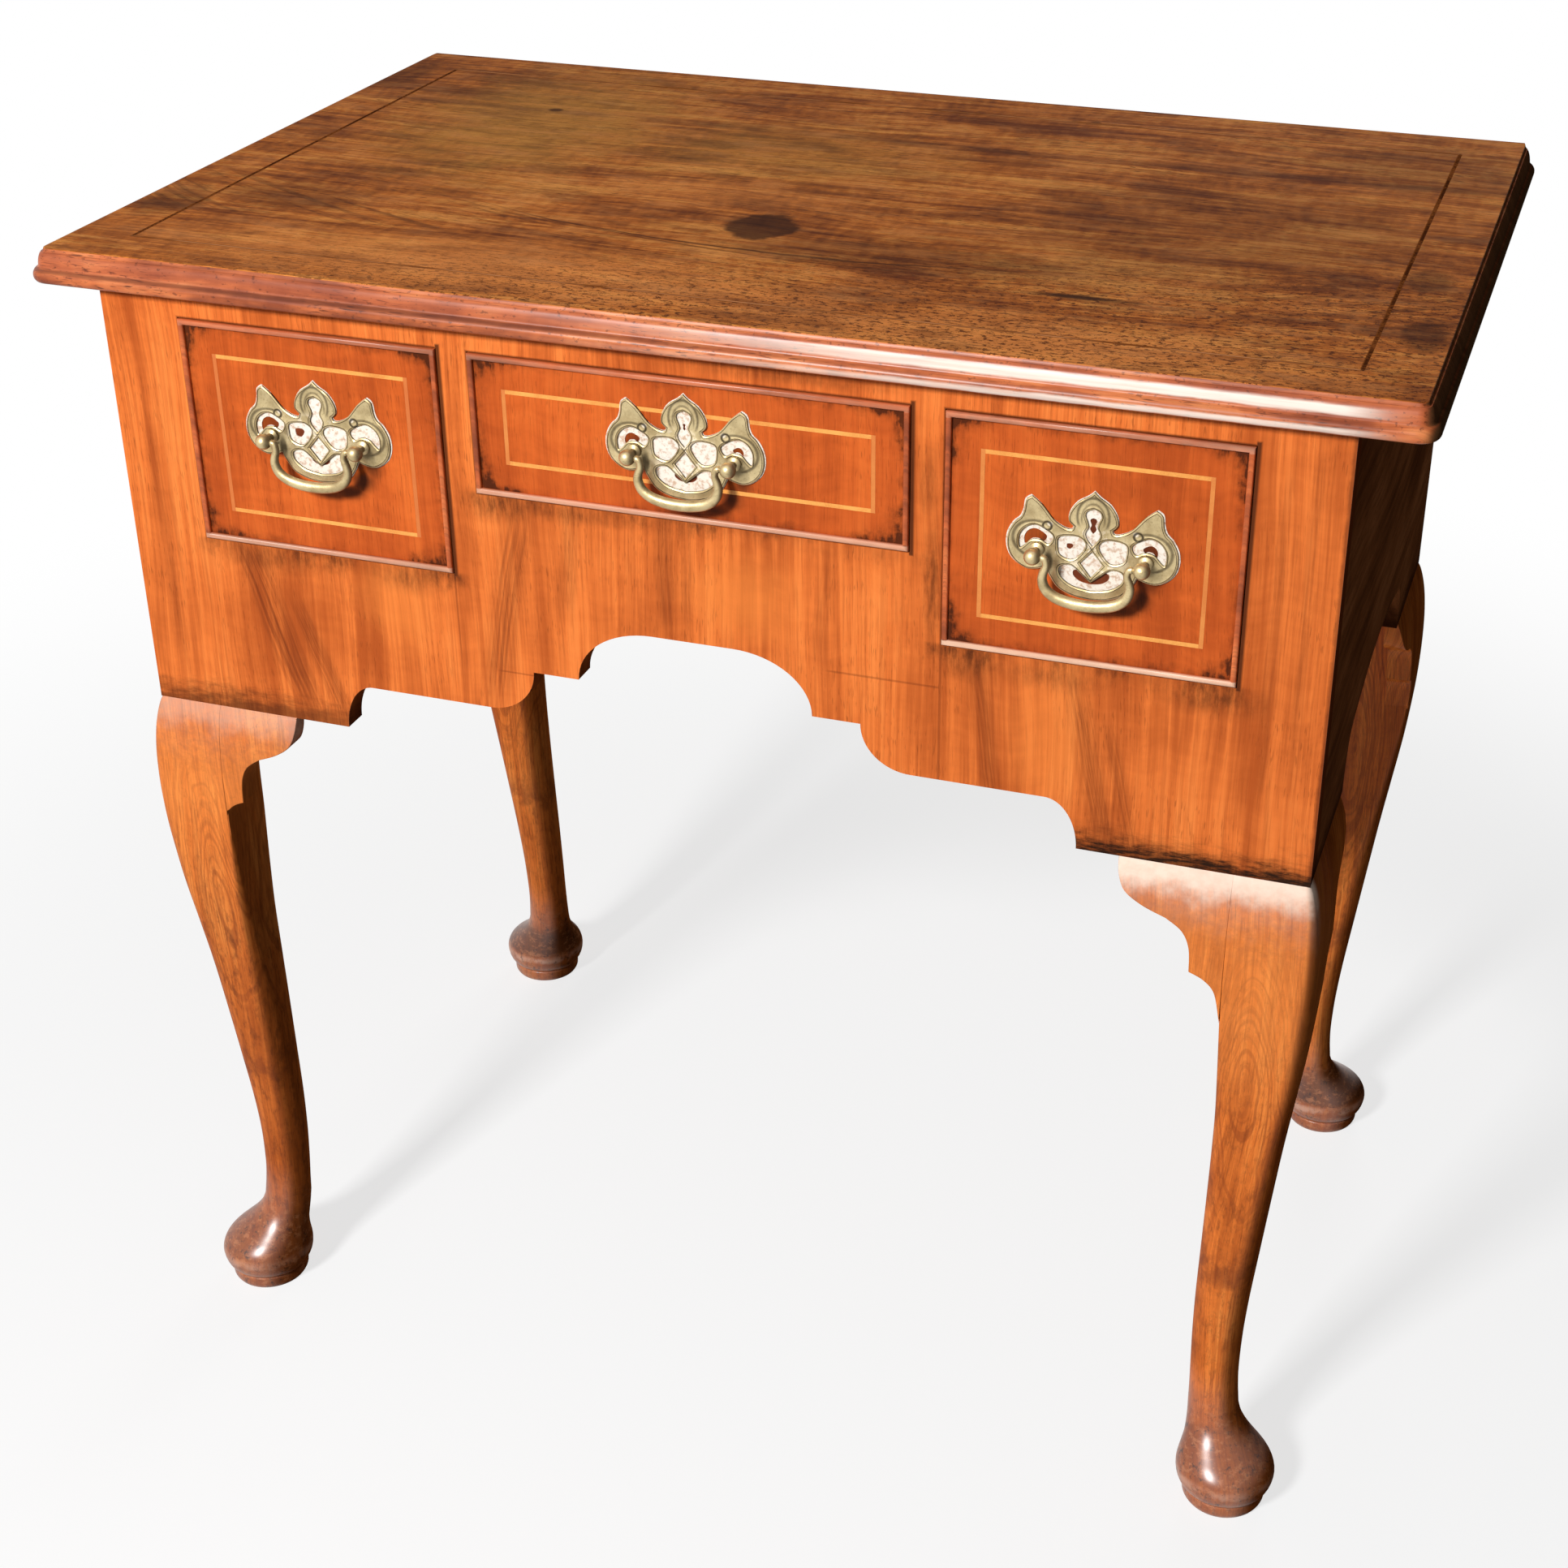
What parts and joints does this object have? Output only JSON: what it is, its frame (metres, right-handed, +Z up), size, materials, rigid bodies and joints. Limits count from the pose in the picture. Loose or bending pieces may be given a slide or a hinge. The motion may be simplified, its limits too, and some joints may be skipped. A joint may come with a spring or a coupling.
{
  "type": "lowboy",
  "caption": "Walnut lowboy with a moulded top, cockbeaded drawers over a stepped and arched apron, bat-wing brass handles, and cabriole legs on pad feet.",
  "frame": {"origin": "on the floor, under the centre of the table's bounding box", "axes": "+X to the right across the front, +Y from the front to the back, +Z up; the drawers open towards -Y"},
  "size_m": [0.778, 0.4964, 0.734],
  "materials": {
    "top_walnut": "waxed walnut, brown, softly glossy",
    "case_walnut": "waxed golden-orange walnut veneer",
    "drawer_walnut": "waxed reddish walnut veneer",
    "leg_walnut": "waxed solid walnut",
    "boxwood": "pale boxwood stringing under the same wax",
    "oak": "dry, unpolished oak",
    "brass": "aged cast brass, pale and softly polished"
  },
  "bodies": {
    "case": {"top_board": "top_walnut", "top_stringing": "boxwood", "top_rail": "case_walnut", "stile_left": "case_walnut", "stile_right": "case_walnut", "divider_left": "case_walnut", "divider_right": "case_walnut", "apron": "case_walnut", "side_left": "case_walnut", "side_right": "case_walnut", "back_panel": "oak", "leg_front_left": "leg_walnut", "leg_front_right": "leg_walnut", "leg_back_left": "leg_walnut", "leg_back_right": "leg_walnut", "knee_bracket_front_left": "leg_walnut", "knee_bracket_front_right": "leg_walnut", "knee_bracket_side_front_left": "leg_walnut", "knee_bracket_side_front_right": "leg_walnut", "knee_bracket_side_back_left": "leg_walnut", "knee_bracket_side_back_right": "leg_walnut", "partition_left": "oak", "partition_right": "oak", "runner_left": "oak", "runner_right": "oak"},
    "drawer_left": {"drawer_left_front": "drawer_walnut", "drawer_left_side_left": "oak", "drawer_left_side_right": "oak", "drawer_left_back": "oak", "drawer_left_bottom": "oak", "drawer_left_cockbead": "drawer_walnut", "drawer_left_stringing": "boxwood", "drawer_left_backplate": "brass", "drawer_left_post_left": "brass", "drawer_left_post_right": "brass"},
    "bail_left": {"drawer_left_bail": "brass"},
    "drawer_middle": {"drawer_middle_front": "drawer_walnut", "drawer_middle_side_left": "oak", "drawer_middle_side_right": "oak", "drawer_middle_back": "oak", "drawer_middle_bottom": "oak", "drawer_middle_cockbead": "drawer_walnut", "drawer_middle_stringing": "boxwood", "drawer_middle_backplate": "brass", "drawer_middle_post_left": "brass", "drawer_middle_post_right": "brass"},
    "bail_middle": {"drawer_middle_bail": "brass"},
    "drawer_right": {"drawer_right_front": "drawer_walnut", "drawer_right_side_left": "oak", "drawer_right_side_right": "oak", "drawer_right_back": "oak", "drawer_right_bottom": "oak", "drawer_right_cockbead": "drawer_walnut", "drawer_right_stringing": "boxwood", "drawer_right_backplate": "brass", "drawer_right_post_left": "brass", "drawer_right_post_right": "brass"},
    "bail_right": {"drawer_right_bail": "brass"}
  },
  "joints": [
    {"name": "drawer_left_slide", "type": "slide", "parent": "case", "child": "drawer_left", "axis": [0, -1, 0], "range_m": [0, 0.3]},
    {"name": "bail_left_hinge", "type": "hinge", "parent": "drawer_left", "child": "bail_left", "pos_m": [-0.2205, -0.24375, 0.63851], "axis": [-1, 0, 0], "range_deg": [-18, 162]},
    {"name": "drawer_middle_slide", "type": "slide", "parent": "case", "child": "drawer_middle", "axis": [0, -1, 0], "range_m": [0, 0.3]},
    {"name": "bail_middle_hinge", "type": "hinge", "parent": "drawer_middle", "child": "bail_middle", "pos_m": [0, -0.24375, 0.65725], "axis": [-1, 0, 0], "range_deg": [-18, 162]},
    {"name": "drawer_right_slide", "type": "slide", "parent": "case", "child": "drawer_right", "axis": [0, -1, 0], "range_m": [0, 0.3]},
    {"name": "bail_right_hinge", "type": "hinge", "parent": "drawer_right", "child": "bail_right", "pos_m": [0.2225, -0.24375, 0.63171], "axis": [-1, 0, 0], "range_deg": [-18, 162]}
  ]
}
